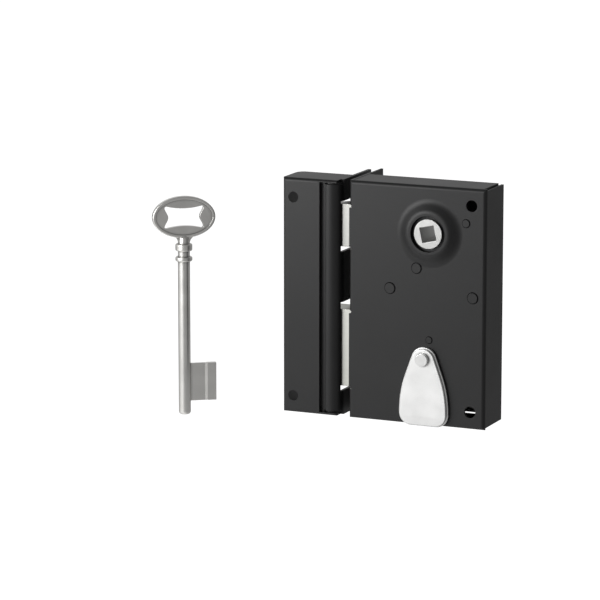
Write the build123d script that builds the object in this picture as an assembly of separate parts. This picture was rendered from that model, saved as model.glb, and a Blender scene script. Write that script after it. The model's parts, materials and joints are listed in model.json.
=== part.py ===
from build123d import *

import os
from math import atan2, cos, pi, radians, sin, sqrt

# A rim box lock with its keeper and key, in millimetres. The origin is where the follower's axis meets the
# door's face. X runs away from the door's edge, Y from the room into the door, and Z up.

# The case: one folded sheet, sized from the follower's axis and the keyhole's below it
backset = 40.0
rear_margin = 27.5
follower_drop = 22.0
keyhole_drop = 70.0
keyhole_margin = 20.0
case_depth = 22.2
sheet = 1.2
bend_radius = 1.6
fold_short = 2.3
hem_height = 1.7
forend_reach = 15.6
corner_seam = 0.5
corner_drop = 0.8
corner_relief = 0.2
overrun = 1.0

left = -backset
right = rear_margin
top = follower_drop
bottom = -keyhole_drop - keyhole_margin
case_height = top - bottom
front = -case_depth
forend_back = forend_reach
fold_back = -fold_short
inner_front = front + sheet
inner_back = -sheet
inner_right = right - sheet
bend_inside = bend_radius - sheet

# Clearances: of a bolt in its opening, of a shaft in its bore, and of faces that slide past each other
opening_clearance = 0.35
bore_clearance = 0.05
face_clearance = 0.1
play = 0.3

# The pressed boss round the follower, and the bush in it
boss_base_radius = 14.5
boss_top_radius = 10.4
boss_hole_radius = 8.4
boss_height = 2.8
boss_edge_round = 3.0
boss_foot_round = 5.0
boss_foot_reach = 2.2
bush_flange_radius = 14.9
bush_flange_thickness = 1.0
bush_recess = 2.2

# The fixing holes through the case
fixing_margin = 8.0
fixing_radius = 2.7
fixing_inset = 7.1

fixing_x = right - fixing_inset
fixing_heights = [bottom + fixing_margin, top - fixing_margin]

# The latch bolt: its head, and the tail that lies round the follower
latch_height = 20.0
latch_throw = 12.0
latch_drawn_gap = 15.5
latch_nose = 2.0
latch_round = 0.6
bolt_inset = 4.1
bolt_thickness = 12.0
latch_tail_thickness = 3.0
latch_tail_top_gap = 0.4
latch_lug_width = 4.4
latch_lug_drop = 7.4

bolt_front = front + bolt_inset
bolt_back = bolt_front + bolt_thickness
latch_tip = left - latch_throw
latch_rear = -latch_throw - latch_drawn_gap
latch_tail_back = bolt_front + latch_tail_thickness

# The follower: its hub, journals, square bore, the arm that draws the latch and the spring's lobe
follower_swing = 45.0
hub_radius = 9.5
journal_radius = 6.8
journal_proud = 2.4
spindle_square = 7.1
square_turn = 13.0
arm_thickness = 4.0
arm_back = 3.9
arm_width = 5.6
lobe_reach = 13.6
lobe_height = 3.6
lobe_drop = 4.0
lobe_thickness = 3.0

arm_pitch_radius = latch_throw / radians(follower_swing)
arm_y0 = latch_tail_back + 0.6 * sheet
arm_y1 = arm_y0 + arm_thickness
lobe_y0 = arm_y1 + sheet
lobe_y1 = lobe_y0 + lobe_thickness

# The keyhole, below the follower and a little nearer the door's edge
keyhole_shift = 1.9
keyhole_radius = 3.3
keyhole_slot_width = 3.3
keyhole_play = 0.5

key_x = -keyhole_shift
key_z = -keyhole_drop

# The key
key_bit_reach = 15.2
key_bit_thickness = 2.6
key_bit_length = 18.2
key_bit_rise = 6.5
key_shank_radius = 2.9
key_tip_round = 1.4
key_length = 105.7
key_collar_radius = 4.05
key_collar_round = 0.8
key_waist_radius = 2.85
key_lower_collar_height = 2.3
key_upper_collar_height = 3.5
key_collar_space = 2.7
key_neck_length = 2.8
key_neck_radius = 2.6
key_neck_point = 1.6
bow_width = 30.2
bow_height = 20.0
bow_thickness = 3.4
bow_rim_width = 1.4
bow_rim_rise = 0.5
bow_hole_width = 18.9
bow_hole_height = 11.2
bow_hole_ear_width = 18.6
bow_hole_ear_height = 8.2
bow_hole_shoulder_width = 16.5
bow_hole_shoulder_height = 4.0
bow_hole_waist_width = 15.2
bow_hole_waist_height = 8.5
bow_hole_round = 0.8
flare_width = 12.6
flare_drop = 2.2
flare_hollow = 1.1
flare_lap = 1.3
bit_web_reach = 9.7
bit_web_slope = 1.3
bit_web_drop = 0.45
key_turn = 36.0
key_place = (-130.0, -11.1, -98.9)

key_upper_collar = key_length - bow_height - key_neck_length - key_upper_collar_height
key_lower_collar = key_upper_collar - key_collar_space - key_lower_collar_height

# The dead bolt: its head, and the tail with the guide slot, the key's talon and the tumbler's notches
dead_bolt_height = 36.4
dead_bolt_rise = 12.2
dead_bolt_throw = 18.0
dead_bolt_round = 0.8
dead_tail_thickness = 4.0
head_upper_inside = 7.0
tail_end_margin = 3.2
talon_width = 6.4
talon_play = 0.3
head_sweep_play = 0.6

dead_middle = key_z + dead_bolt_rise
dead_bottom = dead_middle - dead_bolt_height / 2
dead_top = dead_middle + dead_bolt_height / 2
dead_tip = left - dead_bolt_throw
dead_tail_front = (bolt_front + bolt_back - dead_tail_thickness) / 2
dead_tail_back = dead_tail_front + dead_tail_thickness
key_engagement = sqrt(key_bit_reach**2 - (dead_bolt_throw / 2) ** 2)
dead_tail_bottom = key_z + key_engagement
talon_top = key_z + key_bit_reach + talon_play
talon_x = key_x - dead_bolt_throw / 2

# The posts staked into the case front: radius of the staked end, radius of the body, and place
stake_proud = 0.5
stake_round = 0.15
pillar_stake_radius = 2.4
pillar_radius = 3.0
pillar_left_reach = 19.5
pillar_left_share = 0.51
pillar_right_inset = 6.2
pillar_right_rise = 11.1
latch_post_stake_radius = 2.3
latch_post_radius = 2.6
latch_post_reach = 6.4
latch_post_drop = 6.6
spring_post_stake_radius = 1.75
spring_post_radius = 2.2
spring_post_gap = 4.2
spring_post_rise = 5.8
guide_post_stake_radius = 1.5
guide_post_radius = 1.9
guide_post_collar = 3.2
guide_post_depth = 10.2

latch_post = (-latch_post_reach, -latch_height / 2 - latch_post_drop)
latch_guide = latch_post[1] + latch_post_radius + play
pillar_left = (-pillar_left_reach, latch_guide + pillar_left_share * (dead_top - latch_guide))
pillar_right = (right - pillar_right_inset, dead_top + pillar_right_rise)
spring_post = (lobe_reach + spring_post_gap, spring_post_rise)
guide_post = (0, dead_top - guide_post_depth)

# The back plate and its screws
back_plate_rise = 3.2
back_plate_gap = 0.25
screw_radius = 1.7
screw_head_radius = 3.2
screw_head_height = 1.0
screw_length = 8.0
screw_slot_width = 0.8
screw_slot_depth = 0.5

# The tumbler
tumbler_thickness = 2.5
tumbler_front_gap = 0.5
tumbler_drop_angle = 5.5
tumbler_lift_angle = 2.0
tumbler_eye_radius = 4.6
tumbler_hub_radius = 4.2
tumbler_lug_width = 4.0
tumbler_lug_shift = 4.1
tumbler_rest_gap = 0.25
notch_depth = 3.0
notch_left_play = 0.45
notch_right_play = 0.8
belly_half_width = 5.6
belly_gap = 0.2
belly_chamfer = 2.6
tumbler_left_margin = 2.6
tumbler_shoulder_rise = 5.4
window_play = 0.3
spring_tab_width = 3.0
spring_tab_share = 0.386
spring_tab_rise = 2.1
spring_tab_drop = 5.0
spring_tab_length = 2.4

tumbler_lug_x = key_x - tumbler_lug_shift
tumbler_lug_right = tumbler_lug_x + tumbler_lug_width
spring_tab_x = tumbler_lug_right + spring_tab_share * (pillar_right[0] - tumbler_lug_right)
tumbler_back = dead_tail_front - tumbler_front_gap
tumbler_front = tumbler_back - tumbler_thickness
tumbler_reach = pillar_right[0] - guide_post[0]
tumbler_depth = pillar_right[1] - guide_post[1]

# The springs: wire, gaps, and where each leg ends from the piece that it bears on
spring_wire_radius = 0.5
light_wire_radius = 0.4
spring_gap = 0.4
coil_gap = 0.45
leg_gap = 0.06
latch_leg_rise = 2.0
latch_leg_dip = 0.45
follower_leg_back = 5.6
follower_leg_drop = 9.0
follower_wall_leg_drop = 1.0
follower_coil_inset = 2.6
tab_leg_overhang = 1.5
tumbler_wall_leg_drop = 9.0
tumbler_coil_inset = 1.6

# The key cover, its rivet and its washer
cover_width = 24.4
cover_height = 37.2
cover_thickness = 2.5
cover_round = 0.4
cover_rim_width = 0.75
cover_rim_thickness = 1.2
cover_face_bevel = 0.2
cover_lip_height = 4.6
cover_lip_drop = 0.4
cover_taper = 20.0
cover_head_radius = 6.3
cover_side_radius = 50.0
cover_corner_radius = 6.0
cover_pivot_rise = 11.5
cover_pivot_inset = 5.5
cover_rivet_radius = 2.0
cover_rivet_head_radius = 3.0
cover_rivet_head_height = 1.9
cover_rivet_tail = 0.8
washer_thickness = 0.5
washer_radius = 4.0
washer_play = 0.15

cover_pivot = (key_x, key_z + cover_pivot_rise)
cover_back = front - washer_thickness - face_clearance
cover_front = cover_back - cover_thickness

# The keeper: a folded box, and the strike with its rounded ramp
keeper_gap = 4.9
keeper_width = 28.7
keeper_short = 0.7
keeper_fold_short = 2.9
keeper_corner_round = 4.0
keeper_wall_round = 7.0
keeper_face_width = 18.6
keeper_fixing_radius = 2.5
keeper_fixing_inset = 5.4
keeper_fixing_low_margin = 8.05
keeper_fixing_high_margin = 9.05
groove_floor_depth = 2.2
ridge_width = 7.3
ridge_round = 5.5
ridge_inner_round = 1.0
ridge_end_gap = 2.2
strike_sheet = 1.6
strike_reach = 15.6
strike_lip = 4.0
strike_opening_inset = 3.1
strike_opening_back = 1.2
latch_opening_above = 1.2
latch_opening_below = 2.5
dead_opening_above = 3.3
dead_opening_below = 2.6

keeper_right = left - keeper_gap
keeper_left = keeper_right - keeper_width
keeper_bottom = bottom
keeper_top = top - keeper_short
strike_inside = keeper_right - strike_sheet
face_end = keeper_left + keeper_face_width
ridge_left = keeper_right - ridge_width
keeper_fold_back = -keeper_fold_short
strike_back = strike_reach


corner = (Align.MIN, Align.MIN, Align.MIN)
base = (Align.CENTER, Align.CENTER, Align.MIN)


def block(x0, x1, y0, y1, z0, z1):
    """A box between two corners."""
    size = Box(x1 - x0, y1 - y0, z1 - z0, align=corner)
    return Pos(x0, y0, z0) * size


def rod(place, radius, y0, y1):
    """A cylinder along Y, at a place in X and Z."""
    plane = Plane(origin=(place[0], y0, place[1]), z_dir=(0, 1, 0))
    return plane * Cylinder(radius, y1 - y0, align=base)


def cone(place, radius0, radius1, y0, y1):
    """A cone along Y, at a place in X and Z."""
    plane = Plane(origin=(place[0], y0, place[1]), z_dir=(0, 1, 0))
    return plane * Cone(radius0, radius1, y1 - y0, align=base)


def slab(outline, y0, y1):
    """A face drawn in X and Z, as a plate between two depths."""
    return extrude(Plane.XZ.offset(-y1) * outline, y1 - y0)


def keyhole_outline(radius, width, reach):
    """A round hole with a slot below it, about the key's axis."""
    slot = Pos(key_x, key_z - reach / 2) * Rectangle(width, reach)
    return Pos(key_x, key_z) * Circle(radius) + slot


def ring(profile):
    """A solid turned about the follower's axis from a profile of radius and depth."""
    return revolve(make_face(Polyline(*profile, close=True)), Axis.Y)


def boss():
    """The pressed boss: a sheet cone with a flat top and a hole."""
    crest = front - boss_height
    under = crest + sheet
    foot = boss_base_radius + boss_foot_reach
    skirt = boss_base_radius - sheet
    profile = Polyline(
        (boss_hole_radius, crest),
        (boss_top_radius, crest),
        (boss_base_radius, front),
        (foot, front),
        (foot, inner_front),
        (skirt, inner_front),
        (boss_top_radius - sheet / 2, under),
        (boss_hole_radius, under),
        close=True,
    )
    face = make_face(profile)
    corners = face.vertices()
    crest_edge = corners.filter_by(lambda v: abs(v.X - boss_top_radius) < bore_clearance and v.Y < under)
    face = fillet(crest_edge, boss_edge_round)
    foot_edge = face.vertices().filter_by(lambda v: abs(v.X - boss_base_radius) < bore_clearance)
    face = fillet(foot_edge, boss_foot_round)
    return revolve(face, Axis.Y)


def forend_opening(centre, height):
    """One bolt's opening in the forend, with a relief at each end of the straight edge."""
    half = height / 2 + opening_clearance
    cut = block(left - overrun, left + bend_radius + overrun, inner_front, bolt_back + opening_clearance,
                centre - half, centre + half)
    for side in (-1, 1):
        end = centre + side * (half - sheet / 2)
        cut += block(left - overrun, left + bend_inside + sheet / 2, front - overrun, inner_front + overrun,
                     end - sheet / 2, end + sheet / 2)
    return cut


def straight_edge(centre, height):
    """The flat edge of the front sheet where an opening replaces the bend."""
    half = height / 2
    return block(left, left + bend_radius, front, inner_front, centre - half, centre + half)


def case_shell():
    body = block(left, right, front, forend_back, bottom, top)
    body = fillet(body.faces().sort_by(Axis.Y)[0].edges(), bend_radius)
    hollow = block(left + sheet, inner_right, inner_front, forend_back + overrun, bottom + sheet,
                   top - sheet)
    body -= fillet(hollow.faces().sort_by(Axis.Y)[0].edges(), bend_inside)
    fold_left, fold_right = left + sheet, inner_right
    body -= block(fold_left, right + overrun, fold_back, forend_back + overrun, top - sheet - overrun,
                  top + overrun)
    body -= block(fold_left, right + overrun, fold_back, forend_back + overrun, bottom - overrun,
                  bottom + sheet + overrun)
    body -= block(inner_right - overrun, right + overrun, 0, forend_back + overrun, bottom - overrun,
                  top + overrun)
    body += block(inner_right, right, fold_back - overrun, 0, bottom + corner_drop, top - corner_drop)
    for z0, z1 in ((bottom, bottom + sheet + hem_height), (top - sheet - hem_height, top)):
        body += block(fold_left + corner_seam, fold_right - corner_seam, fold_back - sheet, fold_back,
                      z0, z1)
    for x0 in (fold_left, fold_right - corner_seam):
        for z0 in (bottom - overrun, top - sheet):
            body -= block(x0, x0 + corner_seam, front + bend_radius + corner_relief, fold_back + overrun, z0,
                          z0 + sheet + overrun)
    for z0 in (bottom - overrun, top - corner_drop):
        body -= block(inner_right - corner_seam, right + overrun, front + bend_radius + corner_relief,
                      fold_back + overrun, z0, z0 + corner_drop + overrun)
    body -= rod((0, 0), boss_base_radius, front - overrun, inner_front + overrun)
    body += boss()
    body += straight_edge(0, latch_height) + straight_edge(dead_middle, dead_bolt_height)
    body -= forend_opening(0, latch_height) + forend_opening(dead_middle, dead_bolt_height)
    for height in fixing_heights:
        body -= rod((fixing_x, height), fixing_radius, front - overrun, inner_front + overrun)
    for place, radius in staked_ends():
        body -= rod(place, radius + bore_clearance, front - overrun, inner_front + overrun)
    outline = keyhole_outline(keyhole_radius, keyhole_slot_width, key_bit_reach + keyhole_play)
    body -= slab(outline, front - overrun, inner_front + overrun)
    body -= rod(cover_pivot, cover_rivet_radius + bore_clearance, front - overrun,
                inner_front + overrun)
    return body


def staked_ends():
    """Every post's place and the radius of its staked end."""
    return [
        (pillar_left, pillar_stake_radius),
        (pillar_right, pillar_stake_radius),
        (latch_post, latch_post_stake_radius),
        (spring_post, spring_post_stake_radius),
        (guide_post, guide_post_stake_radius),
    ]


def staked_post(place, stake_radius, radius):
    """A post between the plates, with its front end staked through the case."""
    end = rod(place, stake_radius, front - stake_proud, inner_front)
    end = fillet(end.edges().sort_by(Axis.Y)[0], stake_round)
    return end + rod(place, radius, inner_front, inner_back)


def pillar(place):
    """A pillar post, bored for its screw."""
    bore = rod(place, screw_radius + bore_clearance, inner_back - screw_length, inner_back + overrun)
    return staked_post(place, pillar_stake_radius, pillar_radius) - bore


def dead_bolt_post():
    """The dead bolt's guide post: a thin pin with a collar at each end."""
    pin = staked_post(guide_post, guide_post_stake_radius, guide_post_radius)
    pin += rod(guide_post, guide_post_collar, inner_front, tumbler_front - play)
    return pin + rod(guide_post, guide_post_collar, dead_tail_back + play, inner_back)


def back_plate():
    plate = block(left + sheet + back_plate_gap, inner_right - back_plate_gap, inner_back, 0,
                  bottom + back_plate_rise, top - sheet - back_plate_gap)
    plate -= rod((0, 0), journal_radius + bore_clearance, inner_back - overrun, overrun)
    outline = keyhole_outline(keyhole_radius, keyhole_slot_width, key_bit_reach + keyhole_play)
    plate -= slab(outline, inner_back - overrun, overrun)
    for height in fixing_heights:
        plate -= rod((fixing_x, height), fixing_radius, inner_back - overrun, overrun)
    for place in (pillar_left, pillar_right):
        plate -= rod(place, screw_radius + play, inner_back - overrun, overrun)
        plate -= screw_head(place, bore_clearance)
    return plate


def screw_head(place, gap):
    """A countersunk head, flush with the door's face."""
    return cone(place, screw_radius + gap, screw_head_radius + gap, -screw_head_height, 0)


def back_plate_screw(place):
    shank = rod(place, screw_radius, -screw_length, -screw_head_height + bore_clearance)
    slot = block(place[0] - screw_head_radius, place[0] + screw_head_radius, -screw_slot_depth, overrun,
                 place[1] - screw_slot_width / 2, place[1] + screw_slot_width / 2)
    return shank + screw_head(place, 0) - slot


def follower_bush():
    """The flanged bush behind the boss, which the follower's front journal turns in."""
    bore = journal_radius + bore_clearance
    nose = boss_hole_radius - face_clearance
    crest = front - boss_height + bush_recess
    seat = inner_front + bush_flange_thickness
    return ring([(bore, crest), (nose, crest), (nose, inner_front), (bush_flange_radius, inner_front),
                 (bush_flange_radius, seat), (bore, seat)])


def involute(roll):
    """The point of the arm's working face that meets the latch's lug after a turn of this angle."""
    across = arm_pitch_radius * (roll * cos(roll) - sin(roll))
    up = arm_pitch_radius * (roll * sin(roll) + cos(roll))
    return (across, up)


def follower():
    """The hub with its journals, the arm that draws the latch, the spring's lobe and the square bore."""
    hub_front = inner_front + bush_flange_thickness + face_clearance
    body = rod((0, 0), hub_radius, hub_front, inner_back - face_clearance)
    body += rod((0, 0), journal_radius, front - journal_proud, -face_clearance)
    swing = radians(follower_swing)
    start, middle, end = involute(0), involute(swing / 2), involute(swing)
    back = end[0] - arm_back
    face = ThreePointArc(start, middle, end)
    sides = Polyline(end, (back, end[1]), (-arm_width, 0), (0, 0), start)
    body += slab(make_face([face, sides]), arm_y0, arm_y1)
    body += block(0, lobe_reach, lobe_y0, lobe_y1, -lobe_drop, lobe_height - lobe_drop)
    square = Rotation(0, 0, square_turn) * Rectangle(spindle_square, spindle_square)
    return body - slab(square, front - journal_proud - overrun, overrun)


def latch_bolt():
    """The bevelled head, and the tail: a bar over and one under the follower, and the arm's lug."""
    half = latch_height / 2
    bevel_end = left - bolt_inset / 2
    outline = Polyline((latch_tip, bolt_front), (latch_rear, bolt_front), (latch_rear, bolt_back),
                       (bevel_end, bolt_back), (latch_tip, bolt_front + latch_nose), close=True)
    head = Pos(0, 0, -half) * extrude(make_face(outline), latch_height)
    head = fillet(head.edges().filter_by(Axis.Z).sort_by(Axis.X)[:2], latch_round)
    bar_top = top - sheet - latch_tail_top_gap
    lug_left = bore_clearance + face_clearance
    lug_right = lug_left + latch_lug_width
    bar_bottom = hub_radius + play + sheet
    upper = block(latch_rear - overrun, lug_right, bolt_front, latch_tail_back, bar_bottom, bar_top)
    web = block(latch_rear - overrun, latch_rear, bolt_front, latch_tail_back, half - overrun, bar_top)
    lug = block(lug_left, lug_right, bolt_front, arm_y1 + face_clearance, bar_top - latch_lug_drop, bar_top)
    lower = block(latch_rear - overrun, lug_right, bolt_front, latch_tail_back, latch_guide,
                  -hub_radius - play)
    foot = block(latch_rear - overrun, latch_rear, bolt_front, latch_tail_back, latch_guide, overrun - half)
    return head + upper + web + lug + lower + foot


def dead_bolt():
    """The head, and the tail with its guide slot, the key's talon and two notches for the tumbler's lug."""
    head_rear = key_x - key_bit_reach - head_sweep_play - dead_bolt_throw
    head = block(dead_tip, head_rear, bolt_front, bolt_back, dead_bottom, dead_top)
    head = chamfer(head.faces().sort_by(Axis.X)[0].edges(), dead_bolt_round)
    shoulder = block(head_rear - overrun, left + head_upper_inside, bolt_front, bolt_back, dead_tail_bottom,
                     dead_top)
    tail_end = guide_post[0] + guide_post_radius + tail_end_margin
    tail = block(head_rear - overrun, tail_end, dead_tail_front, dead_tail_back, dead_tail_bottom, dead_top)
    body = head + shoulder + tail
    slot_radius = guide_post_radius + play
    slot = SlotCenterToCenter(dead_bolt_throw, 2 * slot_radius)
    slot = Pos(guide_post[0] - dead_bolt_throw / 2, guide_post[1]) * slot
    body -= slab(slot, dead_tail_front - overrun, dead_tail_back + overrun)
    body -= block(talon_x - talon_width / 2, talon_x + talon_width / 2, dead_tail_front - overrun,
                  dead_tail_back + overrun, dead_tail_bottom - overrun, talon_top)
    drop_shift = (pillar_right[1] - dead_top) * sin(radians(tumbler_drop_angle))
    for shift in (0, -dead_bolt_throw):
        x0 = tumbler_lug_x + shift - notch_left_play
        x1 = tumbler_lug_right + shift + drop_shift + notch_right_play
        body -= block(x0, x1, dead_tail_front - overrun, dead_tail_back + overrun, dead_top - notch_depth,
                      dead_top + overrun)
    return body


def tumbler():
    """A plate on the right pillar, with its belly over the key and a lug over the dead bolt's notches."""
    belly = key_z + key_bit_reach + belly_gap
    belly_left, belly_right = key_x - belly_half_width, key_x + belly_half_width
    shoulder = dead_top + tumbler_shoulder_rise
    edge = tumbler_lug_x - tumbler_left_margin
    outline = Polyline(
        (pillar_right[0], pillar_right[1] + tumbler_eye_radius),
        (tumbler_lug_right, shoulder),
        (edge, shoulder),
        (edge - sheet, belly + belly_chamfer),
        (belly_left, belly),
        (belly_right, belly),
        (pillar_right[0], pillar_right[1] - tumbler_eye_radius),
        close=True,
    )
    plate = slab(make_face(outline), tumbler_front, tumbler_back)
    plate += rod(pillar_right, tumbler_eye_radius, tumbler_front, tumbler_back)
    plate += rod(pillar_right, tumbler_hub_radius, tumbler_back - sheet, inner_back - play)
    fall = radians(tumbler_drop_angle)
    rise = radians(tumbler_lift_angle)
    gap = guide_post_radius + window_play
    plate -= block(guide_post[0] - gap - tumbler_depth * fall, guide_post[0] + gap + tumbler_depth * rise,
                   tumbler_front - overrun, tumbler_back + overrun,
                   guide_post[1] - gap - tumbler_reach * rise, guide_post[1] + gap + tumbler_reach * fall)
    plate += block(tumbler_lug_x, tumbler_lug_right, tumbler_front, dead_tail_back,
                   dead_top + tumbler_rest_gap, shoulder)
    tab_top = pillar_right[1] + spring_tab_rise
    plate += block(spring_tab_x, spring_tab_x + spring_tab_width, tumbler_front - spring_tab_length,
                   tumbler_back, tab_top - spring_tab_drop, tab_top)
    return plate - rod(pillar_right, pillar_radius + bore_clearance, tumbler_front - overrun, 0)


def torsion_spring(place, post_radius, wire, y0, ends, turns, sense):
    """A wire from one end to the other by way of a coil round a post.

    Sense is 1 for a coil that climbs as it turns from X towards Z, and -1 for the other way.
    """
    radius = post_radius + spring_gap + wire
    pitch = 2 * wire + coil_gap
    slope = pitch / (2 * pi * radius)
    angles, legs = [], []
    for side, end in zip((1, -1), ends):
        across, up = end[0] - place[0], end[1] - place[1]
        leg = sqrt(across**2 + up**2 - radius**2)
        angles.append(atan2(up, across) + side * sense * atan2(leg, radius))
        legs.append(leg)
    sweep_angle = (sense * (angles[1] - angles[0])) % (2 * pi) + 2 * pi * turns
    height = pitch * sweep_angle / (2 * pi)
    start_way = (cos(angles[0]), 0, sin(angles[0]))
    axis = Plane(origin=(place[0], y0, place[1]), x_dir=start_way, z_dir=(0, 1, 0))
    coil = axis * Helix(pitch, height, radius, lefthand=sense > 0)
    first = (ends[0][0], y0 - slope * legs[0], ends[0][1])
    last = (ends[1][0], y0 + height + slope * legs[1], ends[1][1])
    path = Wire([Line(first, coil @ 0).edge(), coil.edge(), Line(coil @ 1, last).edge()])
    section = Plane(origin=path @ 0, z_dir=path % 0) * Circle(wire)
    turned = sweep_angle / (2 * pi)
    print(f"spring: coil radius {radius:.2f}, turns {turned:.2f}, gap between turns {coil_gap:.2f}")
    return sweep(section, path)


def latch_spring():
    """Coiled round the latch post: one leg behind the latch's head, the other on the left pillar."""
    reach = spring_wire_radius + leg_gap
    head_end = (latch_rear + reach, -latch_height / 2 + latch_leg_rise)
    pillar_end = (pillar_left[0] - pillar_radius, pillar_left[1] + pillar_radius + reach - latch_leg_dip)
    return torsion_spring(latch_post, latch_post_radius, spring_wire_radius, latch_tail_back + sheet + play,
                          (head_end, pillar_end), 3, -1)


def follower_spring():
    """Coiled round its post: one leg under the follower's lobe, the other on the case's right wall."""
    lobe_end = (lobe_reach - follower_leg_back, -lobe_drop - follower_leg_drop)
    wall_end = (inner_right - spring_wire_radius - leg_gap, -follower_wall_leg_drop)
    return torsion_spring(spring_post, spring_post_radius, spring_wire_radius,
                          lobe_y0 + follower_coil_inset, (lobe_end, wall_end), 2, 1)


def tumbler_spring():
    """Coiled round the right pillar: one leg on the tumbler's tab, the other on the case's right wall."""
    tab_top = pillar_right[1] + spring_tab_rise
    tab_end = (spring_tab_x - tab_leg_overhang, tab_top + light_wire_radius + leg_gap)
    wall_end = (inner_right - light_wire_radius - leg_gap, pillar_right[1] - tumbler_wall_leg_drop)
    return torsion_spring(pillar_right, pillar_radius, light_wire_radius, inner_front + tumbler_coil_inset,
                          (tab_end, wall_end), 1, -1)


def cover_outline():
    """A round head about the pivot, sides that widen and turn down, and rounded lower corners."""
    half = cover_width / 2
    taper = radians(cover_taper)
    crown = cover_pivot_inset + cover_pivot[1]
    peak = crown + cover_head_radius * (1 / sin(taper) - 1)
    shoulder = peak - cos(taper) * half / sin(taper)
    low = crown - cover_height
    points = [(0, peak), (half, shoulder), (half, low), (-half, low), (-half, shoulder)]
    outline = make_face(Polyline(*points, close=True))
    corners = outline.vertices()
    outline = fillet(corners.filter_by(lambda v: abs(v.Y - low) < bore_clearance), cover_corner_radius)
    corners = outline.vertices()
    outline = fillet(corners.filter_by(lambda v: abs(v.Y - shoulder) < bore_clearance), cover_side_radius)
    return fillet(outline.vertices().sort_by(Axis.Y)[-1], cover_head_radius)


def key_cover():
    """A plate with a flat rim, and a raised face whose lower end slopes back."""
    outline = Pos(key_x, 0) * cover_outline()
    rim_front = cover_back - cover_rim_thickness
    plate = slab(outline, rim_front, cover_back)
    plate = fillet(plate.faces().sort_by(Axis.Y)[0].edges(), cover_round)
    face = slab(offset(outline, -cover_rim_width), cover_front, cover_back - overrun)
    face = chamfer(face.faces().sort_by(Axis.Y)[0].edges(), cover_face_bevel)
    low = cover_pivot_inset + cover_pivot[1] - cover_height
    slope = Polyline((cover_front - overrun, low), (cover_front + cover_lip_drop, low),
                     (cover_front, low + cover_lip_height),
                     (cover_front - overrun, low + cover_lip_height), close=True)
    lip = extrude(Plane.YZ * make_face(slope), cover_width, both=True)
    plate += face - Pos(key_x, 0, 0) * lip
    return plate - rod(cover_pivot, cover_rivet_radius + bore_clearance, cover_front - overrun, front)


def key_cover_rivet():
    place = cover_pivot
    head_back = cover_front - face_clearance
    head = rod(place, cover_rivet_head_radius, head_back - cover_rivet_head_height, head_back)
    head = chamfer(head.edges().sort_by(Axis.Y)[0], stake_round)
    stem = rod(place, cover_rivet_radius, head_back, inner_front)
    return head + stem + rod(place, cover_rivet_head_radius, inner_front, inner_front + cover_rivet_tail)


def key_cover_washer():
    place = cover_pivot
    disc = rod(place, washer_radius, front - washer_thickness, front)
    bore = cover_rivet_radius + washer_play
    return disc - rod(place, bore, front - washer_thickness - overrun, front + overrun)


def keeper_box():
    body = block(keeper_left, strike_inside, front, 0, keeper_bottom, keeper_top)
    rim = body.faces().sort_by(Axis.Y)[0].edges()
    rim = rim.filter_by(lambda e: e.center().X < strike_inside - overrun)
    body = fillet(rim, bend_radius)
    hollow = block(keeper_left + sheet, strike_inside + overrun, inner_front, overrun,
                   keeper_bottom + sheet, keeper_top - sheet)
    rim = hollow.faces().sort_by(Axis.Y)[0].edges().filter_by(lambda e: e.center().X < strike_inside)
    body -= fillet(rim, bend_inside)
    body -= block(face_end, strike_inside + overrun, front - overrun, inner_front + overrun,
                  keeper_bottom + sheet, keeper_top - sheet)
    body += block(face_end - sheet, face_end, front, front + groove_floor_depth, keeper_bottom + sheet,
                  keeper_top - sheet)
    for z0 in (keeper_bottom - overrun, keeper_top - sheet):
        body -= block(keeper_left - overrun, strike_inside + overrun, keeper_fold_back, overrun, z0,
                      z0 + sheet + overrun)
        cut = block(keeper_left - overrun, keeper_left + keeper_corner_round,
                    keeper_fold_back - keeper_corner_round, overrun, z0, z0 + sheet + overrun)
        pivot = (keeper_left + keeper_corner_round, keeper_fold_back - keeper_corner_round)
        quarter = Pos(*pivot, z0) * Cylinder(keeper_corner_round, sheet + overrun, align=base)
        body -= cut - quarter
    for end, way in ((keeper_bottom, 1), (keeper_top, -1)):
        pivot_z = end + way * keeper_wall_round
        cut = block(keeper_left - overrun, keeper_left + sheet, -keeper_wall_round, overrun,
                    min(end, pivot_z) + sheet * (way > 0), max(end, pivot_z) - sheet * (way < 0))
        plane = Plane(origin=(keeper_left - overrun, -keeper_wall_round, pivot_z), z_dir=(1, 0, 0))
        quarter = plane * Cylinder(keeper_wall_round, sheet + overrun, align=base)
        body -= cut - quarter
    for height in (keeper_bottom + keeper_fixing_low_margin, keeper_top - keeper_fixing_high_margin):
        place = (keeper_left + keeper_fixing_inset, height)
        body -= rod(place, keeper_fixing_radius, front - overrun, inner_front + overrun)
    return body


def ramp_middle(arc_x, radius):
    """The middle of the ramp's quarter round, at one of its two radii."""
    reach = radius * sin(pi / 4)
    return (arc_x + reach, front + ridge_round - reach)


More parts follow.
